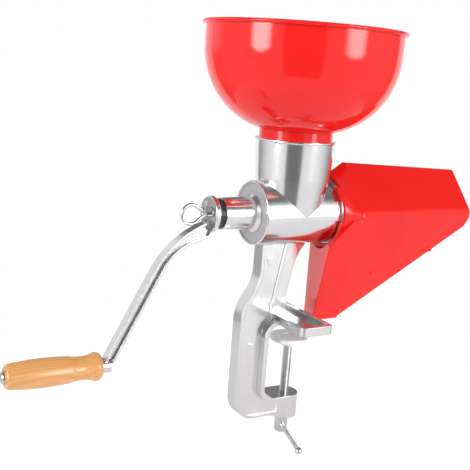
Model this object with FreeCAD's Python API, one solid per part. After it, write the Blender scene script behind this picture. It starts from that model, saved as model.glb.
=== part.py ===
"""Hand-crank tomato press with a table clamp, as separate pieces in millimetres.

The origin is where the clamp screw's axis meets the underside of the upper jaw, which rests on the
table top. +X runs along the crank axis towards the hood, and +Z is up.
"""
import FreeCAD
import Part
import math
import os

V = FreeCAD.Vector
X = V(1, 0, 0)
Y = V(0, 1, 0)
Z = V(0, 0, 1)

# Clearances
RUN = 0.06              # radial play of a shaft in its hole
FIT = 0.04              # radial play of a fixed pin or ring
PLAY = 0.3              # play between pieces that move past each other
SEAT_PLAY = 0.4         # radial play of the parts that lift off for washing
OVER = 2.0              # how far a cut runs past the face it opens

# Main places
AXIS_Z = 115.0          # crank axis above the table top
INLET_X = -13.4         # inlet axis from the clamp screw's axis

# Barrel
BARREL_R = 32.0
BARREL_BORE_R = 28.0
BARREL_BACK_X = -58.2
BARREL_MOUTH_X = 33.3
BACK_WALL = 6.0
BACK_EDGE_R = 1.5
BACK_RING_W = 2.7
BACK_RECESS = 1.2
MOUTH_FLANGE_R = 33.6
MOUTH_FLANGE_T = 4.0

# Rear nose and its bush
NOSE_L = 35.2
NOSE_R = 15.5
NOSE_ROOT_R = 16.3
NOSE_FILLET = 3.0
BUSH_R = 10.0
BUSH_FLANGE_R = 14.3
BUSH_FLANGE_T = 7.0
SHAFT_R = 7.0

# Inlet tube
INLET_H = 74.2
INLET_FOOT_R = 31.9
INLET_WAIST_R = 37.3
INLET_WAIST_H = 35.0
INLET_TOP_R = 39.6
INLET_LIP_R = 41.0
INLET_LIP_H = 3.0
INLET_THROAT_R = 27.5

# Hopper
BOWL_ARC_R = 79.3
BOWL_ARC_OUT = 16.5     # arc centre from the inlet axis
BOWL_ARC_H = 84.6       # arc centre above the inlet lip
BOWL_WALL = 2.5
BOWL_RISE = 19.4        # straight part above the arc
BOWL_LEAN = 0.3
RIM_OUT = 3.9
RIM_H = 3.6
SPIGOT_R = 35.0
SPIGOT_L = 29.0
SPIGOT_WALL = 2.5
COLLAR_R = 36.5

# Leg and C-frame
WEB_T = 13.0
RIM_T = 15.5
RIM_W = 3.5
LEG_BACK_X = -46.0
BEND_TOP_Z = 58.3
BEND_LOW_Z = 3.8
SPINE_X = -64.7
CORNER_R = 24.0
THROAT_X = -34.1
THROAT_R = 12.0
THROAT_FLANGE_T = 5.0
THROAT_FLANGE_W = 30.0
LOWER_ARM_Z = -79.2
FRAME_BOTTOM_Z = -101.4
WEB_FOOT_X = -28.1
WEB_TOP_X = -15.0
BOSS_R = 14.8
BOSS_H = 25.2

# Upper jaw tray and its rib
JAW_BACK_X = -22.0
JAW_TIP_X = 15.2
JAW_W = 110.0
JAW_T = 4.5
JAW_LIP_H = 4.5
JAW_LIP_W = 4.0
JAW_CORNER_R = 5.0
RIB_T = 6.0
RIB_TIP_RISE = 1.0
RIB_SLOPE = 23.0        # slope of the rib over the jaw, degrees
RIB_NECK_X = -11.3
RIB_NECK_Z = 25.3
RIB_NECK_H = 25.0
RIB_NECK_LEAN = 5.5
RIB_ELBOW = 9.0         # where the slope ends in front of the neck
RIB_ELBOW_SAG = 1.6
RIB_FLARE_OUT = 5.0
RIB_FLARE_UP = 2.0
RIB_TOP_X = 8.7

# Moulding marks on the casting
MARK_R = 4.0
MARK_H = 0.5
MARK_LEG = (-34.5, 66.0)
MARK_SPINE = (-51.5, -22.5)

# Hood
HOOD_WALL = 2.5
HOOD_RING_R = 37.5
HOOD_LAP = 4.0          # how far the hood laps back over the mouth flange
HOOD_RIDGE_X = 48.9
HOOD_END_X = 201.2
HOOD_BACK = dict(apex=54.0, half=44.0, shoulder=3.4, foot=15.0, floor=-112.8)
HOOD_FRONT = dict(apex=47.2, half=40.0, shoulder=0.6, foot=30.0, floor=-16.8)
APEX_R = 6.0
SHOULDER_R = 12.0
FOOT_R = 5.0
SPOUT_FOOT_X = 16.5     # near edge of the spout's narrow back, at its foot
SPOUT_HEAD_X = 14.1     # the same at its top
SPOUT_FOOT_W = 24.0     # width of that back across, at its foot
SPOUT_HEAD_W = 65.5     # the same at its top
SPOUT_BACK_TURN = 16.0  # how far that back is turned away from the near side, degrees
BEVEL_R = 40.0          # bevel round the mouth, at the spout's back
SKIRT_L = 3.5           # how far the ring's lower half reaches back under the barrel
SKIRT_TOP = -6.0        # top of that half, from the crank axis
SPOUT_TOP = -3.0        # top of the spout block, from the crank axis
SLOPE_FOOT = -31.0      # where the slope over the spout starts at its back, from the crank axis
SLOPE_TURN = 50.0       # rise of that slope, degrees
LUG_W = 14.0
LUG_T = 4.0
LUG_HOOK = 1.1
LUG_ANGLES = (50.0, 230.0)
STOP_T = 2.5
STOP_R = 31.8
STOP_OUT_R = 42.0

# Strainer
GASKET_T = 1.5
GASKET_R = 33.4
RING_T = 3.0
RING_R = 33.4
CONE_R = 30.0
CONE_TIP_R = 12.0
CONE_L = 159.2
CONE_SHEET = 1.2
TIP_RING_R = 14.5
TIP_RING_L = 6.0
HOLE_R = 1.3
HOLE_ROWS = 11
HOLES_PER_ROW = 18
HOLE_MARGIN = 14.0

# Spiral and what it turns with
SPIRAL_CORE_R = 11.0
SPIRAL_TIP_R = 7.0
SPIRAL_PITCH = 32.0
SPIRAL_BLADE = 4.0
SPIRAL_PLAY = 0.9
SPIRAL_TIP_BACK = 6.0   # spiral tip behind the cone tip
BLADE_SINK = 1.0        # how far the blade's foot lies in the core
BLADE_STEPS = 24        # points on each edge of a turn
WASHER_R = 14.0
WASHER_T = 1.5
SPRING_WIRE_R = 0.9
SPRING_R = 10.0
SPRING_TURNS = 2
SPRING_ARCS = 4         # arcs in one turn of the spring
SPRING_L = 8.0
SHAFT_IN_SPIRAL = 45.0
PIN_R = 2.0
PIN_BACK = 16.0         # cross pin from the spiral's rear end
SEAL_R = 8.6
SEAL_T = 1.8

# Crank
HUB_R = 17.5
HUB_T = 5.0
HUB_EDGE_R = 1.25
HUB_RECESS_R = 13.0
HUB_RECESS = 1.5
SQUARE = 9.0            # square end of the shaft
HUB_WASHER_R = 8.0
HUB_WASHER_T = 1.4
EYE_STEM_R = 2.4
EYE_STEM_L = 14.0
EYE_WIRE_R = 1.6
EYE_R = 9.3
EYE_OUT = 18.6          # loop centre from the hub face
EYE_OPEN = 42.0         # half angle where the loop runs to the stem
CRANK_R = 140.8
ARM_W = 10.5
ARM_WEB_T = 4.0
ARM_RIB = 2.2
ARM_REACH = 101.7       # arm end from the hub face, along X
ARM_END_R = 7.0
ARM_END_T = 8.0
ARM_ROOT_TOP = -6.0     # the root's upper edge at the hub, from the crank axis
ARM_ROOT_LOW = -22.3    # the root's lower edge at the hub, from the crank axis
ARM_HEEL = 3.0          # where the root meets the hub's back, from the hub's edge
ARM_ROOT_SLOPE = 17.9   # slope of the root below the level, degrees
ARM_OUTER_RUN = 4.0     # straight stretch of the root before the bend, upper edge
ARM_INNER_RUN = 17.0    # straight stretch of the root before the bend, lower edge
ARM_LEAN = 28.0         # lean of the straight part from the vertical, degrees
ARM_DEPTH = 9.0

# Grip
GRIP_L = 88.2
GRIP_BEAD_R = 13.4
GRIP_BEAD_W = 8.6
GRIP_BEAD_EDGE = 2.0
GRIP_BEAD_TOP_AT = 3.4
GRIP_NECK_R = 11.1
GRIP_NECK_AT = 16.0     # places along the grip are from its arm end
GRIP_HIP_AT = 29.0
GRIP_BELLY_R = 13.5
GRIP_BELLY_AT = 51.6
GRIP_END_R = 11.7
GRIP_ROUND = 5.0
GRIP_PIN_R = 4.0
GRIP_WASHER_R = 8.5
GRIP_WASHER_T = 1.5
PIN_HEAD_R = 6.5
PIN_HEAD_H = 2.6
PIN_HEAD_FLAT_R = 2.0
PIN_DOME_R = 4.9        # the dome's middle, from the pin's axis
PIN_DOME_H = 2.1

# Clamp
SCREW_R = 5.0
OPENING = 16.7          # jaw to pad as photographed
PAD_R = 20.0
PAD_T = 5.0
PAD_EDGE = 1.0
PAD_HUB_R = 8.5
PAD_HUB_H = 5.0
RIVET_R = 5.6
RIVET_T = 1.6
RIVET_SHANK_R = 3.0
RIVET_BELOW = 0.6
HEAD_R = 6.8
HEAD_H = 19.2
HEAD_EDGE = 1.5
HEAD_PLAY = 0.5
BAR_R = 2.3
BAR_DROP = 11.4         # bar below the head's top
BAR_OUT = 64.5          # outer ball from the screw axis
BAR_BALL_R = 3.7
BAR_TURN = 253.0        # bar direction from +X, degrees


def on_xz(x, z):
    """A point of an outline drawn in the upright plane through the crank axis."""
    return V(x, 0, z)


def on_axis(x, r):
    """A point of a profile that turns about the crank axis."""
    return V(x, 0, AXIS_Z + r)


def on_inlet(r, z):
    """A point of a profile that turns about the inlet axis."""
    return V(INLET_X + r, 0, z)


def on_screw(r, z):
    """A point of a profile that turns about the clamp screw's axis."""
    return V(r, 0, z)


def face(place, start, *steps):
    """A flat face from points, where a pair of points is an arc's middle and end."""
    edges = []
    here = start
    for step in steps + (start,):
        if isinstance(step[0], tuple):
            middle, end = step
            edges.append(Part.Arc(place(*here), place(*middle), place(*end)).toShape())
        else:
            end = step
            if math.dist(here, end) > 1e-6:
                edges.append(Part.LineSegment(place(*here), place(*end)).toShape())
        here = end
    return Part.Face(Part.Wire(edges))


def turned(place, axis_point, axis, start, *steps):
    """A solid of revolution from an outline on one side of its axis."""
    return face(place, start, *steps).revolve(axis_point, axis, 360)


def about_crank(start, *steps):
    """A piece turned about the crank axis."""
    return turned(on_axis, V(0, 0, AXIS_Z), X, start, *steps)


def about_inlet(start, *steps):
    """A piece turned about the inlet axis."""
    return turned(on_inlet, V(INLET_X, 0, 0), Z, start, *steps)


def about_screw(start, *steps):
    """A piece turned about the clamp screw's axis."""
    return turned(on_screw, V(0, 0, 0), Z, start, *steps)


def thick(flat, width):
    """An upright face thickened evenly to both sides."""
    moved = flat.translated(V(0, -width / 2, 0))
    return moved.extrude(V(0, width, 0))


def crank_rod(radius, x_from, x_to, z=AXIS_Z):
    """A round rod along X."""
    return Part.makeCylinder(radius, x_to - x_from, V(x_from, 0, z), X)


def upright_rod(radius, z_from, z_to, x=0.0):
    """A round rod along Z."""
    return Part.makeCylinder(radius, z_to - z_from, V(x, 0, z_from), Z)


def ring(inner, outer, x_from, x_to):
    """A flat ring on the crank axis."""
    return about_crank((x_from, inner), (x_from, outer), (x_to, outer), (x_to, inner))


def arc_middle(centre, radius, turn):
    """The point of a circle at an angle in degrees."""
    angle = math.radians(turn)
    return (centre[0] + radius * math.cos(angle), centre[1] + radius * math.sin(angle))


def s_bend(top, low):
    """Two equal arcs that join two parallel upright lines, as arc steps."""
    across = (top[0] - low[0]) / 2
    down = (top[1] - low[1]) / 2
    radius = (across ** 2 + down ** 2) / (2 * across)
    half = math.degrees(math.asin(down / radius)) / 2
    waist = (top[0] - across, top[1] - down)
    upper = arc_middle((top[0] - radius, top[1]), radius, -half)
    lower = arc_middle((low[0] + radius, low[1]), radius, 180 - half)
    return (upper, waist), (lower, low)


# Casting
NOSE_END_X = BARREL_BACK_X - NOSE_L
LIP_Z = AXIS_Z + INLET_H
SEAT_Z = LIP_Z - SPIGOT_L - OVER
FLANGE_BACK_X = BARREL_MOUTH_X - MOUTH_FLANGE_T
BOSS_BOTTOM_Z = LOWER_ARM_Z - BOSS_H


def barrel_and_nose():
    """The turned outside of the barrel, its mouth flange and the rear nose."""
    edge = BACK_EDGE_R * (1 - math.sqrt(0.5))
    return about_crank(
        (NOSE_END_X, 0),
        (NOSE_END_X, NOSE_R),
        (BARREL_BACK_X - NOSE_FILLET, NOSE_ROOT_R),
        (BARREL_BACK_X, NOSE_ROOT_R + NOSE_FILLET),
        (BARREL_BACK_X, BARREL_R - BACK_EDGE_R),
        ((BARREL_BACK_X + edge, BARREL_R - edge), (BARREL_BACK_X + BACK_EDGE_R, BARREL_R)),
        (FLANGE_BACK_X, BARREL_R),
        (FLANGE_BACK_X, MOUTH_FLANGE_R),
        (BARREL_MOUTH_X, MOUTH_FLANGE_R),
        (BARREL_MOUTH_X, 0),
    )


def inlet_outside():
    """The tapered tube that carries the hopper, with a lip at its top."""
    waist_z = AXIS_Z + INLET_WAIST_H
    lip_low = LIP_Z - INLET_LIP_H
    lip_middle = (INLET_LIP_R, lip_low + INLET_LIP_H / 2)
    return about_inlet(
        (0, AXIS_Z),
        (INLET_FOOT_R, AXIS_Z),
        (INLET_WAIST_R, waist_z),
        (INLET_TOP_R, lip_low),
        (lip_middle, (INLET_TOP_R, LIP_Z)),
        (0, LIP_Z),
    )


def frame_web():
    """The flat plate of leg and C-frame, with a thin rim along its edges."""
    corner_z = FRAME_BOTTOM_Z + CORNER_R
    corner = (SPINE_X + CORNER_R, corner_z)
    inside = (THROAT_X + THROAT_R, LOWER_ARM_Z + THROAT_R)
    upper = (THROAT_X + THROAT_R, -THROAT_R)
    bend = s_bend((LEG_BACK_X, BEND_TOP_Z), (SPINE_X, BEND_LOW_Z))
    flat = face(
        on_xz,
        (LEG_BACK_X, AXIS_Z),
        (LEG_BACK_X, BEND_TOP_Z),
        *bend,
        (SPINE_X, corner_z),
        (arc_middle(corner, CORNER_R, 225), (corner[0], FRAME_BOTTOM_Z)),
        (0.0, FRAME_BOTTOM_Z),
        (0.0, LOWER_ARM_Z),
        (inside[0], LOWER_ARM_Z),
        (arc_middle(inside, THROAT_R, 225), (THROAT_X, inside[1])),
        (THROAT_X, upper[1]),
        (arc_middle(upper, THROAT_R, 135), (upper[0], 0.0)),
        (upper[0], JAW_T),
        (WEB_FOOT_X, JAW_T + 2 * JAW_LIP_H),
        (WEB_TOP_X, AXIS_Z - BARREL_R),
        (WEB_TOP_X, AXIS_Z),
    )
    inner = flat.makeOffset2D(-RIM_W)
    return thick(flat, RIM_T).cut(web_pocket(inner, 1)).cut(web_pocket(inner, -1))


def web_pocket(inner, side):
    """What is sunk into one side of the web inside its rim."""
    depth = (RIM_T - WEB_T) / 2
    start = inner.translated(V(0, side * WEB_T / 2, 0))
    return start.extrude(V(0, side * (depth + OVER), 0))


def throat_flange():
    """The wide strip that lines the throat from the boss up to the jaw."""
    inside = (THROAT_X + THROAT_R, LOWER_ARM_Z + THROAT_R)
    upper = (THROAT_X + THROAT_R, -THROAT_R)
    outer = THROAT_R + THROAT_FLANGE_T
    strip = face(
        on_xz,
        (0.0, LOWER_ARM_Z),
        (inside[0], LOWER_ARM_Z),
        (arc_middle(inside, THROAT_R, 225), (THROAT_X, inside[1])),
        (THROAT_X, upper[1]),
        (arc_middle(upper, THROAT_R, 135), (upper[0], 0.0)),
        (upper[0], THROAT_FLANGE_T),
        (arc_middle(upper, outer, 135), (THROAT_X - THROAT_FLANGE_T, upper[1])),
        (THROAT_X - THROAT_FLANGE_T, inside[1]),
        (arc_middle(inside, outer, 225), (inside[0], LOWER_ARM_Z - THROAT_FLANGE_T)),
        (0.0, LOWER_ARM_Z - THROAT_FLANGE_T),
    )
    return thick(strip, THROAT_FLANGE_W)


def jaw_tray():
    """The upper jaw: a flat plate with a low wall round its top."""
    length = JAW_TIP_X - JAW_BACK_X
    plate = Part.makeBox(length, JAW_W, JAW_T + JAW_LIP_H, V(JAW_BACK_X, -JAW_W / 2, 0))
    plate = rounded_uprights(plate, JAW_CORNER_R)
    hollow = Part.makeBox(
        length - 2 * JAW_LIP_W,
        JAW_W - 2 * JAW_LIP_W,
        JAW_LIP_H + OVER,
        V(JAW_BACK_X + JAW_LIP_W, JAW_LIP_W - JAW_W / 2, JAW_T),
    )
    return plate.cut(rounded_uprights(hollow, JAW_CORNER_R - JAW_LIP_W))


def rounded_uprights(block, radius):
    """A block with its four upright edges rounded."""
    edges = []
    for edge in block.Edges:
        ends = [vertex.Point for vertex in edge.Vertexes]
        if abs(ends[0].z - ends[1].z) > 1e-6:
            edges.append(edge)
    return block.makeFillet(radius, edges)


def jaw_rib():
    """The thin rib from the jaw's tip up the leg to the barrel."""
    tip = JAW_TIP_X - JAW_LIP_W / 2
    tip_z = JAW_T + JAW_LIP_H + RIB_TIP_RISE
    low_x = RIB_NECK_X + RIB_ELBOW
    low = (low_x, tip_z + math.tan(math.radians(RIB_SLOPE)) * (tip - low_x))
    elbow = ((low_x + RIB_NECK_X) / 2 - RIB_ELBOW_SAG, (low[1] + RIB_NECK_Z) / 2 - RIB_ELBOW_SAG)
    neck_top = (RIB_NECK_X + RIB_NECK_LEAN, RIB_NECK_Z + RIB_NECK_H)
    barrel_low = AXIS_Z - BARREL_R
    flare = (neck_top[0] + RIB_FLARE_OUT, (neck_top[1] + barrel_low) / 2 + RIB_FLARE_UP)
    flat = face(
        on_xz,
        (WEB_FOOT_X, JAW_T / 2),
        (tip, JAW_T / 2),
        (tip, tip_z),
        low,
        (elbow, (RIB_NECK_X, RIB_NECK_Z)),
        neck_top,
        (flare, (RIB_TOP_X, barrel_low)),
        (RIB_TOP_X, AXIS_Z - BARREL_BORE_R),
        (WEB_TOP_X - RIB_T, AXIS_Z - BARREL_BORE_R),
    )
    return thick(flat, RIB_T)


def mould_mark(place):
    """A low round mark on the near side of the web."""
    start = V(place[0], -WEB_T / 2 + MARK_H, place[1])
    return Part.makeCylinder(MARK_R, 2 * MARK_H, start, V(0, -1, 0))


def body_casting():
    """The one casting that carries everything."""
    solid = barrel_and_nose().fuse(
        [
            inlet_outside(),
            frame_web(),
            throat_flange(),
            jaw_tray(),
            jaw_rib(),
            upright_rod(BOSS_R, BOSS_BOTTOM_Z, LOWER_ARM_Z),
            mould_mark(MARK_LEG),
            mould_mark(MARK_SPINE),
        ]
    )
    inner_back = BARREL_BACK_X + BACK_WALL
    recess_in = NOSE_ROOT_R + NOSE_FILLET
    recess_out = BARREL_R - BACK_RING_W
    cuts = [
        crank_rod(BARREL_BORE_R, inner_back, BARREL_MOUTH_X + OVER),
        crank_rod(BUSH_R + FIT, NOSE_END_X - OVER, inner_back + OVER),
        upright_rod(SPIGOT_R + SEAT_PLAY, SEAT_Z, LIP_Z + OVER, INLET_X),
        upright_rod(INLET_THROAT_R, AXIS_Z, SEAT_Z + OVER, INLET_X),
        ring(recess_in, recess_out, BARREL_BACK_X - OVER, BARREL_BACK_X + BACK_RECESS),
        upright_rod(SCREW_R + RUN, BOSS_BOTTOM_Z - OVER, LOWER_ARM_Z + OVER),
    ]
    return solid.cut(cuts).removeSplitter()


def nose_bush():
    """The flanged bush that the crank shaft runs in."""
    return about_crank(
        (NOSE_END_X - BUSH_FLANGE_T, SHAFT_R + RUN),
        (NOSE_END_X - BUSH_FLANGE_T, BUSH_FLANGE_R),
        (NOSE_END_X, BUSH_FLANGE_R),
        (NOSE_END_X, BUSH_R),
        (BARREL_BACK_X + BACK_WALL, BUSH_R),
        (BARREL_BACK_X + BACK_WALL, SHAFT_R + RUN),
    )


# Hopper
BOWL_CENTRE_Z = LIP_Z + BOWL_ARC_H


def bowl_arc(radius, reach):
    """Middle and top of a bowl arc that starts at a distance from the inlet axis."""
    start = math.degrees(math.asin((reach - BOWL_ARC_OUT) / radius)) - 90
    centre = (BOWL_ARC_OUT, BOWL_CENTRE_Z)
    turns = (start, start / 2, 0)
    return [arc_middle(centre, radius, turn) for turn in turns]


def hopper():
    """The bowl with its rolled rim, its collar on the lip and its spigot in the tube."""
    inner_r = BOWL_ARC_R - BOWL_WALL
    bore = SPIGOT_R - SPIGOT_WALL
    out_low, out_mid, out_top = bowl_arc(BOWL_ARC_R, COLLAR_R)
    in_low, in_mid, in_top = bowl_arc(inner_r, bore)
    rim_z = BOWL_CENTRE_Z + BOWL_RISE
    rim_r = out_top[0] + BOWL_LEAN
    rim_end = rim_r + RIM_OUT
    return about_inlet(
        (bore, LIP_Z - SPIGOT_L),
        (SPIGOT_R, LIP_Z - SPIGOT_L),
        (SPIGOT_R, LIP_Z),
        (COLLAR_R, LIP_Z),
        out_low,
        (out_mid, out_top),
        (rim_r, rim_z),
        (rim_r + RIM_OUT / 2, rim_z),
        ((rim_end, rim_z + RIM_H / 2), (rim_r + RIM_OUT / 2, rim_z + RIM_H)),
        (rim_r - BOWL_WALL, rim_z + RIM_H),
        in_top,
        (in_mid, in_low),
    )


# Hood
def section_points(size, inset):
    """The five corners of a hood section, moved in by a wall, as (y, z) from the crank axis."""
    corners = [
        (0.0, size["apex"]),
        (-size["half"], size["shoulder"]),
        (-size["foot"], size["floor"]),
        (size["foot"], size["floor"]),
        (size["half"], size["shoulder"]),
    ]
    if inset == 0:
        return corners
    lines = []
    for i in range(5):
        a = corners[i]
        b = corners[(i + 1) % 5]
        length = math.dist(a, b)
        along = ((b[0] - a[0]) / length, (b[1] - a[1]) / length)
        normal = (-along[1], along[0])
        lines.append(((a[0] + normal[0] * inset, a[1] + normal[1] * inset), along))
    return [crossing(lines[i - 1], lines[i]) for i in range(5)]


def crossing(first, second):
    """Where two lines, each a point and a direction, cross."""
    (px, pz), (ux, uz) = first
    (qx, qz), (vx, vz) = second
    t = ((qx - px) * vz - (qz - pz) * vx) / (ux * vz - uz * vx)
    return (px + ux * t, pz + uz * t)


def unit(start, end):
    """The direction from one point of an outline to another."""
    length = math.dist(start, end)
    return ((end[0] - start[0]) / length, (end[1] - start[1]) / length)


def corner_arc(before, corner, after, cut):
    """Start, middle and end of the arc that leaves both sides of a corner at one distance from it."""
    a = unit(corner, before)
    b = unit(corner, after)
    half = math.acos(a[0] * b[0] + a[1] * b[1]) / 2
    out = cut / math.cos(half) - cut * math.tan(half)
    way = unit((0, 0), (a[0] + b[0], a[1] + b[1]))
    start = (corner[0] + a[0] * cut, corner[1] + a[1] * cut)
    middle = (corner[0] + way[0] * out, corner[1] + way[1] * out)
    end = (corner[0] + b[0] * cut, corner[1] + b[1] * cut)
    return start, middle, end


def round_corner(before, corner, after, radius):
    """Start, middle and end of the arc that rounds a corner with a radius."""
    a = unit(corner, before)
    b = unit(corner, after)
    half = math.acos(a[0] * b[0] + a[1] * b[1]) / 2
    return corner_arc(before, corner, after, radius / math.tan(half))


def section_arcs(size, inset):
    """The rounded corners of a hood section, in order."""
    points = section_points(size, inset)
    radii = (APEX_R, SHOULDER_R, FOOT_R, FOOT_R, SHOULDER_R)
    arcs = []
    for i in range(5):
        radius = radii[i] - inset
        arcs.append(round_corner(points[i - 1], points[i], points[(i + 1) % 5], radius))
    return arcs


def section_wire(x, arcs):
    """A closed hood section at one X."""
    def place(p):
        return V(x, p[0], AXIS_Z + p[1])

    edges = []
    for i in range(5):
        start, middle, end = arcs[i]
        edges.append(Part.Arc(place(start), place(middle), place(end)).toShape())
        edges.append(Part.LineSegment(place(end), place(arcs[(i + 1) % 5][0])).toShape())
    return Part.Wire(edges)


def circle_wire(x, radius, arcs):
    """A circle on the crank axis, parted at the same bearings as a hood section."""
    bearings = []
    for start, _, end in arcs:
        bearings.append(math.atan2(start[1], start[0]))
        bearings.append(math.atan2(end[1], end[0]))

    def place(bearing):
        return V(x, radius * math.cos(bearing), AXIS_Z + radius * math.sin(bearing))

    edges = []
    for i, bearing in enumerate(bearings):
        after = bearings[(i + 1) % len(bearings)]
        turn = (after - bearing) % (2 * math.pi)
        edges.append(Part.Arc(place(bearing), place(bearing + turn / 2), place(after)).toShape())
    return Part.Wire(edges)


def spout_wire(z, half, back_x, back_w, inset):
    """A level section of the spout: straight on its near side, slanting on its far side."""
    front_x = HOOD_RIDGE_X + inset
    far_x = back_x + back_w * math.tan(math.radians(SPOUT_BACK_TURN))
    outline = face(
        lambda x, y: V(x, y, AXIS_Z + z),
        (front_x, -half),
        (front_x, half),
        (far_x, back_w - half),
        (back_x, -half),
    )
    if inset:
        outline = outline.makeOffset2D(-inset)
    return outline.OuterWire


def mouth_bevel(inset):
    """What is cut off the spout's top, as a cone that meets the hood's ring."""
    back = SPOUT_HEAD_X - OVER
    ring_x = BARREL_MOUTH_X - HOOD_LAP
    slope = (BEVEL_R - HOOD_RING_R) / (ring_x - SPOUT_HEAD_X)
    back_r = BEVEL_R + slope * OVER + inset
    return Part.makeCone(back_r, HOOD_RING_R + inset, ring_x - back, V(back, 0, AXIS_Z), X)


def spout_slope(inset):
    """What is cut off the spout's top, above a slope that rises from its back to the hood's shoulder."""
    size = HOOD_END_X
    cutter = Part.makeBox(2 * size, 2 * size, size, V(-size, -size, -inset))
    cutter.rotate(V(0, 0, 0), Y, -SLOPE_TURN)
    cutter.translate(V(SPOUT_HEAD_X, 0, AXIS_Z + SLOPE_FOOT))
    return cutter


def hood_form(inset):
    """The hood's outside, or with an inset its hollow."""
    back_x = BARREL_MOUTH_X - HOOD_LAP + inset
    back = section_arcs(HOOD_BACK, inset)
    front = section_arcs(HOOD_FRONT, inset)
    back_wire = section_wire(HOOD_RIDGE_X, back)
    blend = Part.makeLoft([circle_wire(back_x, HOOD_RING_R - inset, back), back_wire], True, True)
    run = Part.makeLoft([back_wire, section_wire(HOOD_END_X, front)], True, True)
    slope = (HOOD_BACK["half"] - HOOD_BACK["foot"]) / (HOOD_BACK["shoulder"] - HOOD_BACK["floor"])
    top_half = HOOD_BACK["foot"] + slope * (SPOUT_TOP - HOOD_BACK["floor"])
    floor = HOOD_BACK["floor"] - (OVER if inset else 0.0)
    low = spout_wire(floor, HOOD_BACK["foot"], SPOUT_FOOT_X, SPOUT_FOOT_W, inset)
    high = spout_wire(SPOUT_TOP, top_half, SPOUT_HEAD_X, SPOUT_HEAD_W, inset)
    spout = Part.makeLoft([low, high], True, True).cut([mouth_bevel(inset), spout_slope(inset)])
    pieces = [spout]
    if inset:
        pieces.append(Part.Face(section_wire(HOOD_END_X, front)).extrude(V(OVER, 0, 0)))
    return run.fuse(pieces).fuse(blend)


def hood_lug(turn):
    """A hook that grips the back of the mouth flange."""
    inner = MOUTH_FLANGE_R - LUG_HOOK
    height = HOOD_RING_R - inner
    x_from = FLANGE_BACK_X - LUG_T
    hook = Part.makeBox(LUG_T, LUG_W, height, V(x_from, -LUG_W / 2, AXIS_Z + inner))
    shank_low = MOUTH_FLANGE_R + SEAT_PLAY
    length = BARREL_MOUTH_X - HOOD_LAP + HOOD_WALL - FLANGE_BACK_X
    shank = Part.makeBox(
        length, LUG_W, HOOD_RING_R - shank_low, V(FLANGE_BACK_X, -LUG_W / 2, AXIS_Z + shank_low)
    )
    lug = hook.fuse(shank)
    limit = crank_rod(HOOD_RING_R, x_from - OVER, HOOD_RIDGE_X)
    lug = lug.common(limit)
    lug.rotate(V(0, 0, AXIS_Z), X, turn)
    return lug


def hood_skirt():
    """The ring's lower half, which closes the gap under the barrel."""
    ring_x = BARREL_MOUTH_X - HOOD_LAP
    whole = ring(MOUTH_FLANGE_R + SEAT_PLAY, HOOD_RING_R, ring_x - SKIRT_L, ring_x + HOOD_WALL)
    width = 2 * HOOD_RING_R
    lower = Part.makeBox(width, width, width, V(0, -HOOD_RING_R, AXIS_Z + SKIRT_TOP - width))
    return whole.common(lower)


GASKET_X = BARREL_MOUTH_X
RING_X = GASKET_X + GASKET_T
STOP_X = RING_X + RING_T


def chute():
    """The hood over the strainer, with its spout, mouth and fixing lugs."""
    outside = hood_form(0)
    stop = ring(STOP_R, STOP_OUT_R, STOP_X, STOP_X + STOP_T).common(outside)
    shell = outside.cut(hood_form(HOOD_WALL))
    hole = crank_rod(MOUTH_FLANGE_R + SEAT_PLAY, SPOUT_HEAD_X - OVER, STOP_X)
    extras = [hood_lug(turn) for turn in LUG_ANGLES] + [hood_skirt()]
    return shell.fuse(stop).cut(hole).fuse(extras).removeSplitter()


def mouth_gasket():
    """The rubber ring on the barrel mouth."""
    return ring(BARREL_BORE_R, GASKET_R, GASKET_X, RING_X)


# Strainer
CONE_END_X = RING_X + CONE_L
CONE_TAPER = (CONE_R - CONE_TIP_R) / CONE_L


def cone_r(x):
    """Outer radius of the strainer cone at one X."""
    return CONE_R - CONE_TAPER * (x - RING_X)


def strainer_cone():
    """The cone of sheet metal with rows of round holes."""
    cone = about_crank(
        (RING_X, cone_r(RING_X) - CONE_SHEET),
        (RING_X, cone_r(RING_X)),
        (CONE_END_X, cone_r(CONE_END_X)),
        (CONE_END_X, cone_r(CONE_END_X) - CONE_SHEET),
    )
    step = (CONE_L - 2 * HOLE_MARGIN) / (HOLE_ROWS - 1)
    holes = []
    for row in range(HOLE_ROWS):
        x = RING_X + HOLE_MARGIN + row * step
        for k in range(HOLES_PER_ROW):
            turn = math.radians(360 / HOLES_PER_ROW * (k + 0.5 * (row % 2)))
            out = V(0, math.cos(turn), math.sin(turn))
            low = V(x, 0, AXIS_Z) + out * (cone_r(x) - 2 * CONE_SHEET)
            holes.append(Part.makeCylinder(HOLE_R, 4 * CONE_SHEET, low, out))
    return cone.cut(holes)


def cone_ring():
    """The base ring of the strainer."""
    return about_crank(
        (RING_X, cone_r(RING_X) + FIT),
        (RING_X, RING_R),
        (STOP_X, RING_R),
        (STOP_X, cone_r(STOP_X) + FIT),
    )


def tip_ring():
    """The ring that stiffens the open tip of the strainer."""
    start = CONE_END_X - TIP_RING_L
    return about_crank(
        (start, cone_r(start) + FIT),
        (start, TIP_RING_R),
        (CONE_END_X, TIP_RING_R),
        (CONE_END_X, cone_r(CONE_END_X) + FIT),
    )


# Spiral
WALL_X = BARREL_BACK_X + BACK_WALL
SPRING_X = WALL_X + PLAY + WASHER_T
SPIRAL_X = SPRING_X + SPRING_L
SPIRAL_END_X = CONE_END_X - SPIRAL_TIP_BACK
PIN_X = SPIRAL_X + PIN_BACK
SEAL_X = SPIRAL_X - SPRING_L / 2


def spiral_core():
    """The tapering core of the spiral."""
    return about_crank(
        (SPIRAL_X, 0),
        (SPIRAL_X, SPIRAL_CORE_R),
        (BARREL_MOUTH_X, SPIRAL_CORE_R),
        (SPIRAL_END_X, SPIRAL_TIP_R),
        (SPIRAL_END_X, 0),
    )


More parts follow.
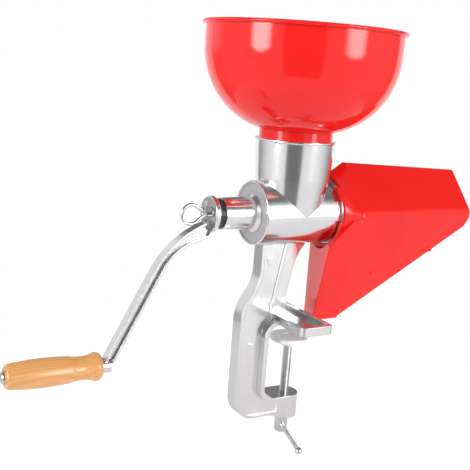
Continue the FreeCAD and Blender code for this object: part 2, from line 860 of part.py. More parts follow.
def spiral_r(x):
    """Outer radius of the blade at one X, inside the barrel or the cone."""
    in_barrel = BARREL_BORE_R - SPIRAL_PLAY
    if x < BARREL_MOUTH_X:
        return in_barrel
    return min(in_barrel, cone_r(x) - CONE_SHEET - SPIRAL_PLAY)


def blade_foot_r(x):
    """Inner radius of the blade at one X, a little inside the core."""
    taper = (SPIRAL_CORE_R - SPIRAL_TIP_R) / (SPIRAL_END_X - BARREL_MOUTH_X)
    return SPIRAL_CORE_R - BLADE_SINK - taper * max(0.0, x - BARREL_MOUTH_X)


def blade_edge(radius, shift, x_from, x_to):
    """One edge of a turn of the blade, on a radius that changes with X."""
    points = []
    for i in range(BLADE_STEPS + 1):
        x = x_from + (x_to - x_from) * i / BLADE_STEPS
        turn = 2 * math.pi * (x - SPIRAL_X) / SPIRAL_PITCH
        r = radius(x)
        points.append(V(x + shift, r * math.cos(turn), AXIS_Z + r * math.sin(turn)))
    curve = Part.BSplineCurve()
    curve.interpolate(points)
    return curve.toShape()


def blade_turn(x_from, x_to):
    """About one turn of the blade, as a solid between four edges."""
    half = SPIRAL_BLADE / 2
    foot_a = blade_edge(blade_foot_r, -half, x_from, x_to)
    foot_b = blade_edge(blade_foot_r, half, x_from, x_to)
    tip_a = blade_edge(spiral_r, -half, x_from, x_to)
    tip_b = blade_edge(spiral_r, half, x_from, x_to)
    edges = [foot_a, tip_a, tip_b, foot_b]
    sides = [(tip_a, tip_b), (foot_a, foot_b), (foot_a, tip_a), (foot_b, tip_b)]
    faces = [Part.makeRuledSurface(a, b) for a, b in sides]
    for end in (0, -1):
        corners = [edge.Vertexes[end].Point for edge in edges]
        faces.append(Part.Face(Part.makePolygon(corners + corners[:1])))
    shell = Part.makeShell(faces)
    solid = Part.Solid(shell)
    return solid if solid.Volume > 0 else Part.Solid(shell.reversed())


def spiral_blade():
    """The blade wound about the core, one turn after another."""
    start = SPIRAL_X + SPIRAL_BLADE
    end = SPIRAL_END_X - SPIRAL_BLADE
    count = math.ceil((end - start) / SPIRAL_PITCH)
    step = (end - start) / count
    return [blade_turn(start + i * step, start + (i + 1) * step) for i in range(count)]


def auger():
    """The spiral that drives the fruit through the strainer."""
    bore = crank_rod(SHAFT_R + FIT, SPIRAL_X - OVER, SPIRAL_X + SHAFT_IN_SPIRAL)
    solid = spiral_core().fuse(spiral_blade()).cut(bore)
    return solid.cut(cross_pin(PIN_R + FIT, SPIRAL_CORE_R + OVER)).removeSplitter()


def cross_pin(radius, reach):
    """A pin across the crank axis."""
    return Part.makeCylinder(radius, 2 * reach, V(PIN_X, -reach, AXIS_Z), Y)


def auger_pin():
    """The cross pin that drives the spiral."""
    return cross_pin(PIN_R, SPIRAL_CORE_R)


def thrust_washer():
    """The washer on the rear wall."""
    return ring(SHAFT_R + FIT, WASHER_R, WALL_X + PLAY, SPRING_X)


def spring_point(turns):
    """A point of the spring's middle line after some turns."""
    length = SPRING_L - 2 * SPRING_WIRE_R - 2 * FIT
    x = SPRING_X + SPRING_WIRE_R + FIT + length * turns / SPRING_TURNS
    angle = 2 * math.pi * turns
    return V(x, SPRING_R * math.cos(angle), AXIS_Z + SPRING_R * math.sin(angle))


def thrust_spring():
    """The coil spring between washer and spiral, bent from arcs."""
    count = SPRING_TURNS * SPRING_ARCS
    arcs = []
    for i in range(count):
        ends = [spring_point((i + part) / SPRING_ARCS) for part in (0, 0.5, 1)]
        arcs.append(Part.Arc(*ends).toShape())
    way = arcs[0].tangentAt(arcs[0].FirstParameter)
    section = Part.Wire(Part.makeCircle(SPRING_WIRE_R, spring_point(0), way))
    shell = Part.BRepOffsetAPI.MakePipeShell(Part.Wire(arcs))
    shell.add(section)
    shell.build()
    shell.makeSolid()
    return shell.shape()


# Crank
HUB_BACK_X = NOSE_END_X - BUSH_FLANGE_T - PLAY
HUB_X = HUB_BACK_X - HUB_T
ARM_END_X = HUB_X - ARM_REACH
GRIP_Z = AXIS_Z - CRANK_R
WASHER_X = HUB_X + HUB_RECESS - HUB_WASHER_T
EYE_X = HUB_X - EYE_OUT


def square_rod(width, x_from, x_to):
    """A square rod on the crank axis."""
    return Part.makeBox(x_to - x_from, width, width, V(x_from, -width / 2, AXIS_Z - width / 2))


def drive_shaft():
    """The shaft with a square end for the crank hub and a tapped hole for the eye screw."""
    end = SPIRAL_X + SHAFT_IN_SPIRAL - OVER
    round_part = crank_rod(SHAFT_R, HUB_BACK_X, end)
    square_part = square_rod(SQUARE, HUB_X + HUB_RECESS, HUB_BACK_X + OVER)
    tapped = crank_rod(EYE_STEM_R + FIT, HUB_X, HUB_X + EYE_STEM_L + OVER)
    groove = ring(SEAL_R - SEAL_T - FIT, SHAFT_R + OVER, SEAL_X, SEAL_X + SEAL_T + 2 * FIT)
    return round_part.fuse(square_part).cut([tapped, groove, cross_pin(PIN_R + FIT, SHAFT_R + OVER)])


def shaft_seal():
    """The rubber ring in the shaft's groove."""
    inner = SEAL_R - SEAL_T
    return ring(inner, SEAL_R, SEAL_X + FIT, SEAL_X + FIT + SEAL_T)


def arm_edge(root, end, run):
    """One edge of the arm: a sloping root, a bend and the straight part, as steps of an outline."""
    slope = math.radians(ARM_ROOT_SLOPE)
    lean = math.radians(ARM_LEAN)
    root_way = (-math.cos(slope), -math.sin(slope))
    end_way = (math.sin(lean), math.cos(lean))
    corner = crossing((root, root_way), (end, end_way))
    return corner_arc(root, corner, end, math.dist(root, corner) - run)


def arm_outline():
    """The arm's outline in the upright plane, as a face."""
    lean = math.radians(ARM_LEAN)
    side = (-math.cos(lean) * ARM_DEPTH / 2, math.sin(lean) * ARM_DEPTH / 2)
    end = (ARM_END_X + ARM_END_T / 2, GRIP_Z)
    outer_end = (end[0] + side[0], end[1] + side[1])
    inner_end = (end[0] - side[0], end[1] - side[1])
    root_top = (HUB_X + HUB_T / 2, AXIS_Z + ARM_ROOT_TOP)
    root_low = (HUB_X, AXIS_Z + ARM_ROOT_LOW)
    outer_from, outer_middle, outer_to = arm_edge(root_top, outer_end, ARM_OUTER_RUN)
    inner_from, inner_middle, inner_to = arm_edge(root_low, inner_end, ARM_INNER_RUN)
    return face(
        on_xz,
        root_top,
        outer_from,
        (outer_middle, outer_to),
        outer_end,
        inner_end,
        inner_to,
        (inner_middle, inner_from),
        root_low,
        (HUB_BACK_X, AXIS_Z - HUB_R + ARM_HEEL),
        (HUB_BACK_X, AXIS_Z + ARM_ROOT_TOP),
    )


def crank_arm():
    """The cast arm: hub, I-section arm and the boss that holds the grip's pin."""
    flat = arm_outline()
    arm = thick(flat, ARM_W)
    hollow = flat.makeOffset2D(-ARM_RIB)
    depth = (ARM_W - ARM_WEB_T) / 2
    pockets = []
    for side in (1, -1):
        start = hollow.translated(V(0, side * ARM_WEB_T / 2, 0))
        pockets.append(start.extrude(V(0, side * (depth + OVER), 0)))
    hub = crank_rod(HUB_R, HUB_X, HUB_BACK_X)
    rim = [edge for edge in hub.Edges if abs(edge.Length - 2 * math.pi * HUB_R) < 0.01]
    hub = hub.makeFillet(HUB_EDGE_R, rim)
    end = crank_rod(ARM_END_R, ARM_END_X, ARM_END_X + ARM_END_T, GRIP_Z)
    solid = arm.cut(pockets).fuse([hub, end])
    seat_r = HUB_WASHER_R + PLAY
    cuts = [
        crank_rod(HUB_RECESS_R, HUB_X - OVER, HUB_X + HUB_RECESS).cut(thick(flat, ARM_W)),
        crank_rod(seat_r, HUB_X - OVER, HUB_X + HUB_RECESS),
        square_rod(SQUARE + 2 * FIT, HUB_X - OVER, HUB_BACK_X + OVER),
        crank_rod(GRIP_PIN_R + FIT, ARM_END_X - OVER, ARM_END_X + ARM_END_T + OVER, GRIP_Z),
    ]
    return solid.cut(cuts).removeSplitter()


def hub_washer():
    """The washer under the eye screw."""
    return ring(EYE_STEM_R + FIT, HUB_WASHER_R, WASHER_X, HUB_X + HUB_RECESS)


def wire_arc(centre, radius, wire, turn_from, turn_to):
    """A round wire bent to an arc in the upright plane."""
    start = math.radians(turn_from)
    place = centre + V(math.cos(start), 0, math.sin(start)) * radius
    tangent = V(-math.sin(start), 0, math.cos(start))
    disc = Part.Face(Part.Wire(Part.makeCircle(wire, place, tangent)))
    return disc.revolve(centre, V(0, -1, 0), turn_to - turn_from)


def wire_run(start, end, wire):
    """A straight round wire with round ends."""
    way = end - start
    rod = Part.makeCylinder(wire, way.Length, start, way)
    return rod.fuse([Part.makeSphere(wire, start), Part.makeSphere(wire, end)])


def eye_screw():
    """The screw whose head is an open wire loop."""
    centre = V(EYE_X, 0, AXIS_Z)
    neck = V(WASHER_X - 2 * EYE_WIRE_R, 0, AXIS_Z)
    loop = wire_arc(centre, EYE_R, EYE_WIRE_R, EYE_OPEN, 360 - EYE_OPEN)
    opening = math.radians(EYE_OPEN)
    upper = centre + V(math.cos(opening), 0, math.sin(opening)) * EYE_R
    lower = centre + V(math.cos(opening), 0, -math.sin(opening)) * EYE_R
    stem = crank_rod(EYE_STEM_R, neck.x, HUB_X + EYE_STEM_L)
    runs = [wire_run(upper, neck, EYE_WIRE_R), wire_run(lower, neck, EYE_WIRE_R)]
    return stem.fuse([loop] + runs).removeSplitter()


# Grip
GRIP_X = ARM_END_X - GRIP_WASHER_T - PLAY
GRIP_END_X = GRIP_X - GRIP_L


def about_grip(start, *steps):
    """A piece turned about the grip's pin."""
    return turned(lambda x, r: V(x, 0, GRIP_Z + r), V(0, 0, GRIP_Z), X, start, *steps)


def grip():
    """The turned wooden grip with a bead at its arm end."""
    bead_top = (GRIP_X - GRIP_BEAD_TOP_AT, GRIP_BEAD_R)
    bead_end = (GRIP_X - GRIP_BEAD_W, (GRIP_BEAD_R + GRIP_NECK_R) / 2)
    neck = (GRIP_X - GRIP_NECK_AT, GRIP_NECK_R)
    hip = (GRIP_X - GRIP_HIP_AT, (GRIP_NECK_R + GRIP_BELLY_R) / 2)
    belly = (GRIP_X - GRIP_BELLY_AT, GRIP_BELLY_R)
    shoulder = (GRIP_END_X + GRIP_ROUND, GRIP_END_R)
    edge = GRIP_ROUND * (1 - math.sqrt(0.5))
    return about_grip(
        (GRIP_X, GRIP_PIN_R + RUN),
        (GRIP_X, GRIP_BEAD_R - GRIP_BEAD_EDGE),
        (bead_top, bead_end),
        (neck, hip),
        (belly, shoulder),
        ((GRIP_END_X + edge, GRIP_END_R - edge), (GRIP_END_X, GRIP_END_R - GRIP_ROUND)),
        (GRIP_END_X, GRIP_PIN_R + RUN),
    )


def grip_washer():
    """The washer between arm and grip."""
    return about_grip(
        (ARM_END_X - GRIP_WASHER_T, GRIP_PIN_R + FIT),
        (ARM_END_X - GRIP_WASHER_T, GRIP_WASHER_R),
        (ARM_END_X, GRIP_WASHER_R),
        (ARM_END_X, GRIP_PIN_R + FIT),
    )


PIN_HEAD_X = GRIP_END_X - PLAY


def grip_pin():
    """The pin that is fixed in the arm and carries the grip."""
    return crank_rod(GRIP_PIN_R, PIN_HEAD_X, ARM_END_X + ARM_END_T, GRIP_Z)


def pin_head():
    """The domed head on the pin's outer end."""
    dome = (PIN_HEAD_X - PIN_DOME_H, PIN_DOME_R)
    return about_grip(
        (PIN_HEAD_X, 0),
        (PIN_HEAD_X, PIN_HEAD_R),
        (dome, (PIN_HEAD_X - PIN_HEAD_H, PIN_HEAD_FLAT_R)),
        (PIN_HEAD_X - PIN_HEAD_H, 0),
    )


# Clamp
PAD_Z = -OPENING
PAD_LOW_Z = PAD_Z - PAD_T
SCREW_TOP_Z = PAD_LOW_Z - PAD_HUB_H
HEAD_Z = BOSS_BOTTOM_Z - HEAD_PLAY
BAR_Z = HEAD_Z - BAR_DROP
BAR_WAY = V(math.cos(math.radians(BAR_TURN)), math.sin(math.radians(BAR_TURN)), 0)
BAR_IN = HEAD_R + BAR_BALL_R + PLAY


def clamp_pad():
    """The round pad with a hub below and a sunk seat for its rivet."""
    seat_z = PAD_Z - RIVET_BELOW - RIVET_T
    return about_screw(
        (RIVET_SHANK_R + RUN, SCREW_TOP_Z),
        (PAD_HUB_R, SCREW_TOP_Z),
        (PAD_HUB_R, PAD_LOW_Z),
        (PAD_R - PAD_EDGE, PAD_LOW_Z),
        (PAD_R, PAD_LOW_Z + PAD_EDGE),
        (PAD_R, PAD_Z - PAD_EDGE),
        (PAD_R - PAD_EDGE, PAD_Z),
        (RIVET_R + PLAY, PAD_Z),
        (RIVET_R + PLAY, seat_z),
        (RIVET_SHANK_R + RUN, seat_z),
    )


def pad_rivet():
    """The rivet that holds the pad on the screw and lets it turn."""
    top = PAD_Z - RIVET_BELOW
    return about_screw(
        (0, SCREW_TOP_Z),
        (RIVET_SHANK_R, SCREW_TOP_Z),
        (RIVET_SHANK_R, top - RIVET_T),
        (RIVET_R, top - RIVET_T),
        (RIVET_R, top),
        (0, top),
    )


def bar_rod(radius, start, end):
    """A round rod along the tommy bar's axis."""
    return Part.makeCylinder(radius, end - start, V(0, 0, BAR_Z) + BAR_WAY * start, BAR_WAY)


def clamp_screw():
    """The screw with its drilled head."""
    low = HEAD_Z - HEAD_H
    solid = about_screw(
        (0, SCREW_TOP_Z),
        (SCREW_R, SCREW_TOP_Z),
        (SCREW_R, HEAD_Z),
        (HEAD_R - HEAD_EDGE / 2, HEAD_Z),
        (HEAD_R, HEAD_Z - HEAD_EDGE / 2),
        (HEAD_R, low + HEAD_EDGE),
        (HEAD_R - HEAD_EDGE, low),
        (0, low),
    )
    return solid.cut(bar_rod(BAR_R + RUN, -HEAD_R - OVER, HEAD_R + OVER))


def tommy_bar():
    """The bar that slides in the screw's head."""
    return bar_rod(BAR_R, -BAR_IN, BAR_OUT)


def bar_end(place):
    """A ball pressed on one end of the bar."""
    ball = Part.makeSphere(BAR_BALL_R, V(0, 0, BAR_Z) + BAR_WAY * place)
    way = 1 if place > 0 else -1
    start = place - way * BAR_BALL_R * 2
    hole = bar_rod(BAR_R + FIT, min(start, place), max(start, place))
    return ball.cut(hole)


NODES = {
    "body_casting": body_casting,
    "nose_bush": nose_bush,
    "hopper": hopper,
    "chute": chute,
    "mouth_gasket": mouth_gasket,
    "cone_ring": cone_ring,
    "strainer_cone": strainer_cone,
    "tip_ring": tip_ring,
    "drive_shaft": drive_shaft,
    "shaft_seal": shaft_seal,
    "thrust_washer": thrust_washer,
    "thrust_spring": thrust_spring,
    "auger": auger,
    "auger_pin": auger_pin,
    "crank_arm": crank_arm,
    "hub_washer": hub_washer,
    "eye_screw": eye_screw,
    "grip_pin": grip_pin,
    "grip_washer": grip_washer,
    "pin_head": pin_head,
    "grip": grip,
    "clamp_pad": clamp_pad,
    "clamp_screw": clamp_screw,
    "pad_rivet": pad_rivet,
    "tommy_bar": tommy_bar,
    "bar_end_near": lambda: bar_end(BAR_OUT),
    "bar_end_far": lambda: bar_end(-BAR_IN),
}


def main():
    """Builds every piece and writes it as one STEP file."""
    os.makedirs("parts", exist_ok=True)
    for name, make in NODES.items():
        shape = make()
        box = shape.BoundBox
        print(
            name,
            "solids", len(shape.Solids),
            "valid", shape.isValid(),
            "volume %.0f" % shape.Volume,
            "x %.1f %.1f y %.1f %.1f z %.1f %.1f"
            % (box.XMin, box.XMax, box.YMin, box.YMax, box.ZMin, box.ZMax),
        )
        shape.exportStep("parts/%s.step" % name)


main()
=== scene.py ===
"""Looks of a hand-crank tomato press with a table clamp.

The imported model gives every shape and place. This file gives each surface its finish, puts finer surfaces
in the place of the bowl and the screw, and sets up a pale studio with a camera at the photograph's angle.
"""

import logging
import math
from dataclasses import dataclass, field
from enum import Enum
from typing import Any, Mapping, Sequence, Union

import bpy
import numpy as np
from mathutils import Matrix, Vector
from mathutils.bvhtree import BVHTree


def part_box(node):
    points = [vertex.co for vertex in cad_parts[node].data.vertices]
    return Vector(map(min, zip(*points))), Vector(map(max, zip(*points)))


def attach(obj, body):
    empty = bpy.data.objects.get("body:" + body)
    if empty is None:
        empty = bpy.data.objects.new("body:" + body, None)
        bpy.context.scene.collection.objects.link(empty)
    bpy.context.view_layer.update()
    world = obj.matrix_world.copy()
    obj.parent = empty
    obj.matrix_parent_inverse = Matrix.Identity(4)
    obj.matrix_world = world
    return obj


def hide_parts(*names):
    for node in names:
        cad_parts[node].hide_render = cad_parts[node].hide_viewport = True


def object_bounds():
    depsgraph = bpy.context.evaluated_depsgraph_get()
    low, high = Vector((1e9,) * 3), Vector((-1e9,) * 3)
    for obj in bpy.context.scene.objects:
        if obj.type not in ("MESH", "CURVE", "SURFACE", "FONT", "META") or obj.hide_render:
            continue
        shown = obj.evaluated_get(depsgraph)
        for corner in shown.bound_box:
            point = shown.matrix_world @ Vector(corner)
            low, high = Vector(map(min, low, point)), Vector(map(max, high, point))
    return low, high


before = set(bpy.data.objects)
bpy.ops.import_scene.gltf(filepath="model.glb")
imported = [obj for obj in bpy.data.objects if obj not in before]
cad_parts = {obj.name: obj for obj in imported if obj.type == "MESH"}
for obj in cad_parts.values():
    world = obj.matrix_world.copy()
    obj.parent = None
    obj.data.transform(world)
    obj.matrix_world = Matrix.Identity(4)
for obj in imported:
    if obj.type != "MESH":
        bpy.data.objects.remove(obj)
CAD_BOX = [list(corner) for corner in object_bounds()]
LOG = logging.getLogger("tomato_press")
SHARP_FROM = math.radians(38.0)
LIGHT = (1.0, 1.0, 1.0, 1.0)

Colour = tuple[float, float, float]
Number = Union["Value", float]


class Body(Enum):
    """The bodies of the press that new pieces move with."""

    FRAME = "frame"
    HOPPER = "hopper"
    SCREW = "screw"


class Value:
    """A shader socket that can stand in Python expressions."""

    def __init__(self, sheet: "Sheet", socket: bpy.types.NodeSocket) -> None:
        """Keeps the socket and the sheet that it lies on."""
        self.sheet = sheet
        self.socket = socket

    def math(self, operation: str, *others: Number) -> "Value":
        """Adds a Math node with this value as its first input.

        Args:
            operation: The Math node's operation.
            others: Its other inputs.

        Returns:
            The node's result.
        """
        return self.sheet.node("ShaderNodeMath", {"operation": operation}, dict(enumerate((self, *others))))

    def __add__(self, other: Number) -> "Value":
        """Sum."""
        return self.math("ADD", other)

    def __radd__(self, other: Number) -> "Value":
        """Sum with a plain number on the left."""
        return self.math("ADD", other)

    def __sub__(self, other: Number) -> "Value":
        """Difference."""
        return self.math("SUBTRACT", other)

    def __rsub__(self, other: Number) -> "Value":
        """Difference from a plain number."""
        return (self * -1.0) + other

    def __mul__(self, other: Number) -> "Value":
        """Product."""
        return self.math("MULTIPLY", other)

    def __rmul__(self, other: Number) -> "Value":
        """Product with a plain number on the left."""
        return self.math("MULTIPLY", other)

    def __pow__(self, other: Number) -> "Value":
        """Power."""
        return self.math("POWER", other)

    def root(self) -> "Value":
        """Square root."""
        return self.math("SQRT")

    def sine(self) -> "Value":
        """Sine of an angle in radians."""
        return self.math("SINE")

    def larger(self, other: Number) -> "Value":
        """The larger of two values."""
        return self.math("MAXIMUM", other)

    def step(self, low: float, high: float) -> "Value":
        """A smooth step from 0 at low to 1 at high."""
        settings = {"interpolation_type": "SMOOTHSTEP"}
        inputs = {"Value": self, "From Min": low, "From Max": high}
        return self.sheet.node("ShaderNodeMapRange", settings, inputs)

    def inside(self, low: float, high: float, edge: float) -> "Value":
        """1 between two limits and 0 outside, with soft edges."""
        return self.step(low - edge, low + edge) * (1.0 - self.step(high - edge, high + edge))


class Sheet:
    """The node tree of one material or of the world."""

    def __init__(self, tree: bpy.types.NodeTree) -> None:
        """Empties the tree."""
        self.tree = tree
        tree.nodes.clear()

    def node(
        self,
        kind: str,
        settings: Mapping[str, Any] | None = None,
        inputs: Mapping[Any, Any] | None = None,
        output: Any = 0,
    ) -> Value | None:
        """Adds one node.

        Args:
            kind: The node's type.
            settings: Its own settings, set first; "stops" are a ramp's places and colours.
            inputs: Values or links of its sockets, by name or number.
            output: The socket that the result is read from.

        Returns:
            That socket, or nothing for a node without one.
        """
        made = self.tree.nodes.new(kind)
        for name, value in (settings or {}).items():
            if name == "stops":
                self.set_stops(made.color_ramp, value)
            else:
                setattr(made, name, value)
        for key, value in (inputs or {}).items():
            if isinstance(value, Value):
                self.tree.links.new(value.socket, made.inputs[key])
            else:
                made.inputs[key].default_value = value
        return Value(self, made.outputs[output]) if made.outputs else None

    @staticmethod
    def set_stops(ramp: bpy.types.ColorRamp, stops: Sequence[tuple[float, Colour]]) -> None:
        """Gives a ramp its stops, two of which it has already."""
        while len(ramp.elements) < len(stops):
            ramp.elements.new(1.0)
        for element, (place, colour) in zip(ramp.elements, stops):
            element.position = place
            element.color = (*colour, 1.0)

    def place(self) -> Value:
        """Object coordinates, which are the part's own frame in metres."""
        return self.node("ShaderNodeTexCoord", output="Object")

    def parts(self, vector: Value) -> tuple[Value, Value, Value]:
        """The three coordinates of a vector."""
        made = self.node("ShaderNodeSeparateXYZ", inputs={0: vector}).socket.node
        return tuple(Value(self, socket) for socket in made.outputs)

    def scaled(self, vector: Value, scale: Colour, turn: Colour = (0.0, 0.0, 0.0)) -> Value:
        """A vector turned, and stretched along its axes."""
        return self.node("ShaderNodeMapping", inputs={"Vector": vector, "Scale": scale, "Rotation": turn})

    def noise(self, vector: Value, scale: float, detail: float = 3.0, rough: float = 0.55) -> Value:
        """Cloudy noise from 0 to 1."""
        inputs = {"Vector": vector, "Scale": scale, "Detail": detail, "Roughness": rough}
        return self.node("ShaderNodeTexNoise", inputs=inputs)

    def blend(self, share: Number, first: Any, second: Any) -> Value:
        """A colour between two colours."""
        first = first if isinstance(first, Value) else (*first, 1.0)
        second = second if isinstance(second, Value) else (*second, 1.0)
        settings = {"data_type": "RGBA"}
        return self.node("ShaderNodeMix", settings, {0: share, 6: first, 7: second}, output=2)

    def crease(self, reach: float) -> Value:
        """Occlusion for painted shade: 0 on open faces, towards 1 in creases whose faces lie within a reach
        in metres.
        """
        settings = {"samples": 8, "only_local": True}
        return 1.0 - self.node("ShaderNodeAmbientOcclusion", settings, {"Distance": reach}, output="AO")

    def bump(self, height: Value, depth: float, edge: float = 0.0) -> Value:
        """A normal bent by a height in metres, over edges that are rounded by a radius."""
        inputs = {"Height": height, "Distance": depth, "Strength": 1.0}
        if edge > 0.0:
            inputs["Normal"] = self.node("ShaderNodeBevel", {"samples": 6}, {"Radius": edge})
        return self.node("ShaderNodeBump", inputs=inputs)


@dataclass(frozen=True)
class Finish:
    """A finish of the press, under the name of a material slot of the record.

    Attributes:
        slot: The record's material slot; not used.
        name: The material's own name.
    """

    slot: str
    name: str

    def sockets(self, sheet: Sheet) -> dict[str, Any]:
        """The values and links of the surface shader's sockets."""
        raise NotImplementedError

    def material(self) -> bpy.types.Material:
        """The material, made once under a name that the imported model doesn't use.

        Returns:
            The material of this finish.
        """
        label = f"{self.name}_finish"
        found = bpy.data.materials.get(label)
        if found is not None:
            return found
        made = bpy.data.materials.new(label)
        made.use_nodes = True
        sheet = Sheet(made.node_tree)
        shader = sheet.node("ShaderNodeBsdfPrincipled", inputs=self.sockets(sheet))
        sheet.node("ShaderNodeOutputMaterial", inputs={"Surface": shader})
        return made


@dataclass(frozen=True)
class CastAluminium(Finish):
    """Bright cast aluminium: polished on the barrel, satin on the frame, rough where it was left as cast.

    Attributes:
        bright: Colour of the polished metal.
        satin: Colour of the blasted metal.
        raw: Colour of the rough face behind the barrel.
        satin_below: Height in metres under which the metal is satin.
        axis_z: Height of the crank axis.
        raw_x: Place of the rough face along the crank axis.
        raw_from: Inner radius of the rough face.
        raw_to: Outer radius of the rough face.
        crease_shade_reach: How near two faces of a crease lie to each other where shade is painted.
        painted_crease_shade: Colour of the shade painted into creases.
    """

    bright: Colour = (0.86, 0.86, 0.87)
    satin: Colour = (0.80, 0.80, 0.81)
    raw: Colour = (0.62, 0.61, 0.62)
    satin_below: float = 0.080
    axis_z: float = 0.115
    raw_x: float = -0.0570
    raw_from: float = 0.0190
    raw_to: float = 0.0296
    crease_shade_reach: float = 0.0018
    painted_crease_shade: Colour = (0.20, 0.20, 0.21)

    def sockets(self, sheet: Sheet) -> dict[str, Any]:
        """Mottled metal with a fine grain, polishing marks, soft edges and painted shade in its creases."""
        place = sheet.place()
        x, y, z = sheet.parts(place)
        radius = (y * y + (z - self.axis_z) ** 2.0).root()
        raw = x.inside(self.raw_x - 0.0008, self.raw_x + 0.0006, 0.0002)
        raw = raw * radius.inside(self.raw_from, self.raw_to, 0.0002)
        satin = 1.0 - z.step(self.satin_below - 0.004, self.satin_below + 0.004)
        cloud = sheet.noise(place, 55.0, 4.0)
        grain = sheet.noise(place, 1500.0, 2.0)
        pits = sheet.noise(place, 620.0, 3.0, 0.7).step(0.60, 0.72)
        rubbed = sheet.noise(sheet.scaled(place, (60.0, 900.0, 60.0)), 1.0, 2.0)
        colour = sheet.blend(satin, self.bright, self.satin)
        colour = sheet.blend(cloud.step(0.45, 0.75) * 0.22, colour, (0.62, 0.62, 0.64))
        colour = sheet.blend(pits * 0.35, colour, (0.45, 0.45, 0.46))
        colour = sheet.blend(raw, colour, self.raw)
        # Painted shade: where an occlusion test finds a crease, the colour is darkened towards dark grey.
        colour = sheet.blend(sheet.crease(self.crease_shade_reach).step(0.30, 0.62) * 0.75, colour, self.painted_crease_shade)
        rough = 0.12 + 0.04 * satin + 0.06 * cloud + 0.05 * rubbed + 0.30 * raw
        height = grain * (0.20 + 0.30 * satin + 2.6 * raw) + rubbed * 0.20 - pits * 0.4
        return {
            "Base Color": colour,
            "Metallic": 1.0,
            "Roughness": rough,
            "Normal": sheet.bump(height, 0.00006, edge=0.0007),
        }


@dataclass(frozen=True)
class RedPlastic(Finish):
    """Glossy red moulded plastic with faint waves, hairlines and a little dust in its shine.

    Attributes:
        red: The plastic's colour.
        deep: Its colour where the wall is thick.
        edge: Radius in metres that its edges are softened by.
    """

    red: Colour = (0.86, 0.014, 0.011)
    deep: Colour = (0.74, 0.010, 0.009)
    edge: float = 0.0

    def sockets(self, sheet: Sheet) -> dict[str, Any]:
        """Even colour, with the detail in the gloss."""
        place = sheet.place()
        cloud = sheet.noise(place, 9.0, 2.0)
        wave = sheet.noise(place, 38.0, 1.0)
        peel = sheet.noise(place, 1100.0, 2.0)
        hair = sheet.noise(sheet.scaled(place, (1400.0, 1400.0, 40.0), (0.3, 0.5, 0.2)), 1.0, 2.0)
        hair = hair.step(0.70, 0.78)
        dust = sheet.noise(place, 2600.0, 2.0).step(0.72, 0.80)
        colour = sheet.blend(cloud.step(0.35, 0.75), self.red, self.deep)
        colour = sheet.blend(dust * 0.05, colour, (0.9, 0.55, 0.5))
        height = wave * 6.0 + peel * 0.10 - hair * 0.12
        return {
            "Base Color": colour,
            "Roughness": 0.075 + 0.035 * cloud + 0.09 * hair + 0.10 * dust,
            "IOR": 1.49,
            "Normal": sheet.bump(height, 0.00004, edge=self.edge),
        }


@dataclass(frozen=True)
class MouldedPlastic(Finish):
    """Satin moulded plastic with a fine spark-eroded grain.

    Attributes:
        colour: Main colour.
        worn: Colour of rubbed places.
        shine: Roughness of the surface.
    """

    colour: Colour = (0.02, 0.02, 0.021)
    worn: Colour = (0.06, 0.06, 0.062)
    shine: float = 0.42

    def sockets(self, sheet: Sheet) -> dict[str, Any]:
        """A fine grain and slightly rubbed patches."""
        place = sheet.place()
        grain = sheet.noise(place, 2400.0, 2.0)
        rubbed = sheet.noise(place, 120.0, 3.0).step(0.5, 0.75)
        return {
            "Base Color": sheet.blend(rubbed * 0.6, self.colour, self.worn),
            "Roughness": self.shine + 0.12 * grain - 0.10 * rubbed,
            "Normal": sheet.bump(grain, 0.00003, edge=0.0004),
        }


@dataclass(frozen=True)
class Rubber(Finish):
    """Matt black rubber with a faint bloom."""

    colour: Colour = (0.028, 0.028, 0.027)
    bloom: Colour = (0.10, 0.10, 0.098)

    def sockets(self, sheet: Sheet) -> dict[str, Any]:
        """Matt, with pale bloom in clouds."""
        place = sheet.place()
        cloud = sheet.noise(place, 160.0, 4.0)
        grain = sheet.noise(place, 1800.0, 2.0)
        return {
            "Base Color": sheet.blend(cloud.step(0.4, 0.8) * 0.5, self.colour, self.bloom),
            "Roughness": 0.62 + 0.2 * cloud,
            "Normal": sheet.bump(grain, 0.00005),
        }


@dataclass(frozen=True)
class Steel(Finish):
    """Bare or plated steel with fine marks along one direction.

    Attributes:
        colour: Clean metal.
        dull: Metal under a film.
        shine: Roughness of clean metal.
        marks: How often the marks follow each other along X, Y and Z, per metre.
    """

    colour: Colour = (0.70, 0.70, 0.70)
    dull: Colour = (0.46, 0.46, 0.47)
    shine: float = 0.18
    marks: Colour = (3200.0, 120.0, 120.0)

    def sockets(self, sheet: Sheet) -> dict[str, Any]:
        """Turning marks, and a film in clouds."""
        place = sheet.place()
        marks = sheet.noise(sheet.scaled(place, self.marks), 1.0, 2.0)
        film = sheet.noise(place, 140.0, 4.0).step(0.42, 0.78)
        specks = sheet.noise(place, 1700.0, 2.0).step(0.66, 0.76)
        colour = sheet.blend(film * 0.45, self.colour, self.dull)
        colour = sheet.blend(specks * 0.3, colour, (0.30, 0.29, 0.28))
        return {
            "Base Color": colour,
            "Metallic": 1.0,
            "Roughness": self.shine + 0.10 * marks + 0.14 * film + 0.12 * specks,
            "Normal": sheet.bump(marks - specks * 0.4, 0.00003, edge=0.0003),
        }


